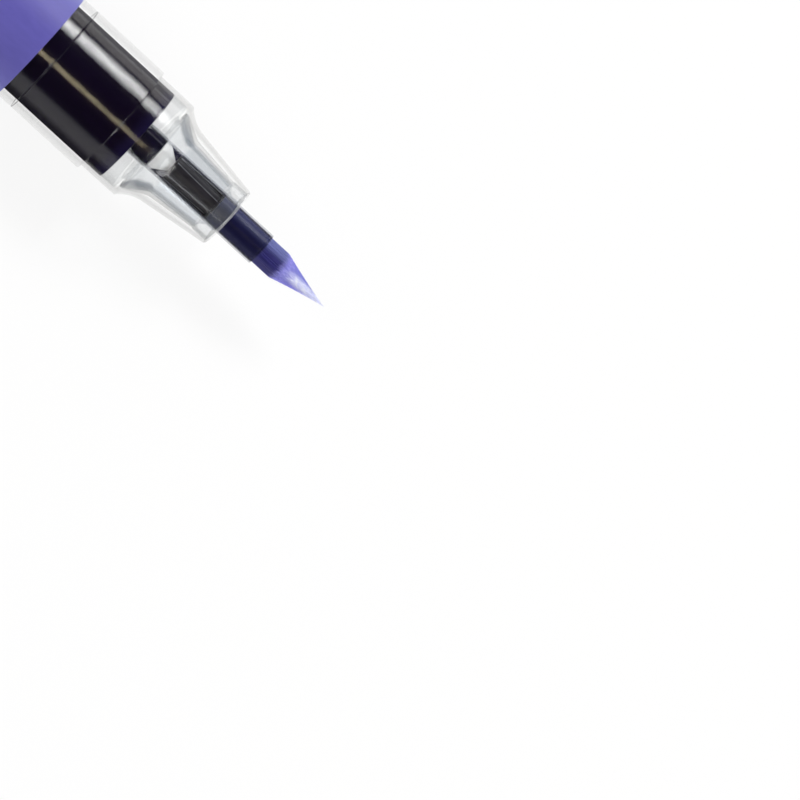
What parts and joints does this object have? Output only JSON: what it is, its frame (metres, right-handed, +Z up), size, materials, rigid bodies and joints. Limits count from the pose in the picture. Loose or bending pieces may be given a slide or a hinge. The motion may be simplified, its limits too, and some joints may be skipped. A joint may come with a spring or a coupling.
{
  "type": "paint marker",
  "caption": "Brush-tip paint marker: clear barrel with a wrap label, clear valve front with a sprung nib sleeve, and a clip cap posted on the tail.",
  "frame": {"origin": "middle of the posted marker's box, on the surface that it lies on", "axes": "+X along the marker's axis towards the brush tip, +Z up"},
  "size_m": [0.1536, 0.0172, 0.015],
  "materials": {
    "clear_barrel": "clear, polished",
    "clear_front": "clear, polished",
    "clear_inner": "clear with a faint blue grey",
    "label_film": "plain lavender wrap, satin",
    "paint": "liquid paint seen through the wall, near black purple",
    "black_plastic": "moulded, dark",
    "white_plastic": "moulded, white",
    "seal_rubber": "smooth",
    "steel": "bright",
    "bristle": "fine nylon filaments, loaded with purple paint",
    "cap_plastic": "moulded lavender, glossy"
  },
  "bodies": {
    "barrel_body": {"barrel": "clear_barrel", "label": "label_film", "front_section": "clear_front", "valve_seat": "clear_inner", "guide_cone": "clear_inner", "nose_bush": "clear_inner", "valve_cage": "black_plastic", "seat_gasket": "seal_rubber", "valve_spring": "steel", "paint_fill": "paint", "tail_plug": "cap_plastic", "tail_seal": "seal_rubber"},
    "nib": {"nib_sleeve": "clear_barrel", "paint_in_sleeve": "paint", "flow_plug": "white_plastic", "nib_holder": "black_plastic", "brush_tuft": "bristle"},
    "plunger": {"valve_plunger": "white_plastic"},
    "ball": {"mixing_ball": "steel"},
    "cap": {"cap_shell": "cap_plastic", "cap_liner": "white_plastic"}
  },
  "joints": [
    {"name": "nib_press", "type": "slide", "parent": "barrel_body", "child": "nib", "axis": [-1, 0, 0], "range_m": [0, 0.0015], "stiffness_N_per_m": 700},
    {"name": "valve_lift", "type": "slide", "parent": "barrel_body", "child": "plunger", "axis": [-1, 0, 0], "range_m": [0, 0.0015], "deforming": ["valve_spring"]},
    {"name": "ball_travel", "type": "slide", "parent": "barrel_body", "child": "ball", "axis": [1, 0, 0], "range_m": [0, 0.065], "deforming": ["paint_fill"]},
    {"name": "cap_pull", "type": "slide", "parent": "barrel_body", "child": "cap", "axis": [-1, 0, 0], "range_m": [0, 0.03]}
  ],
  "couplings": [
    {"joint": "valve_lift", "follows": "nib_press", "ratio": 1}
  ]
}
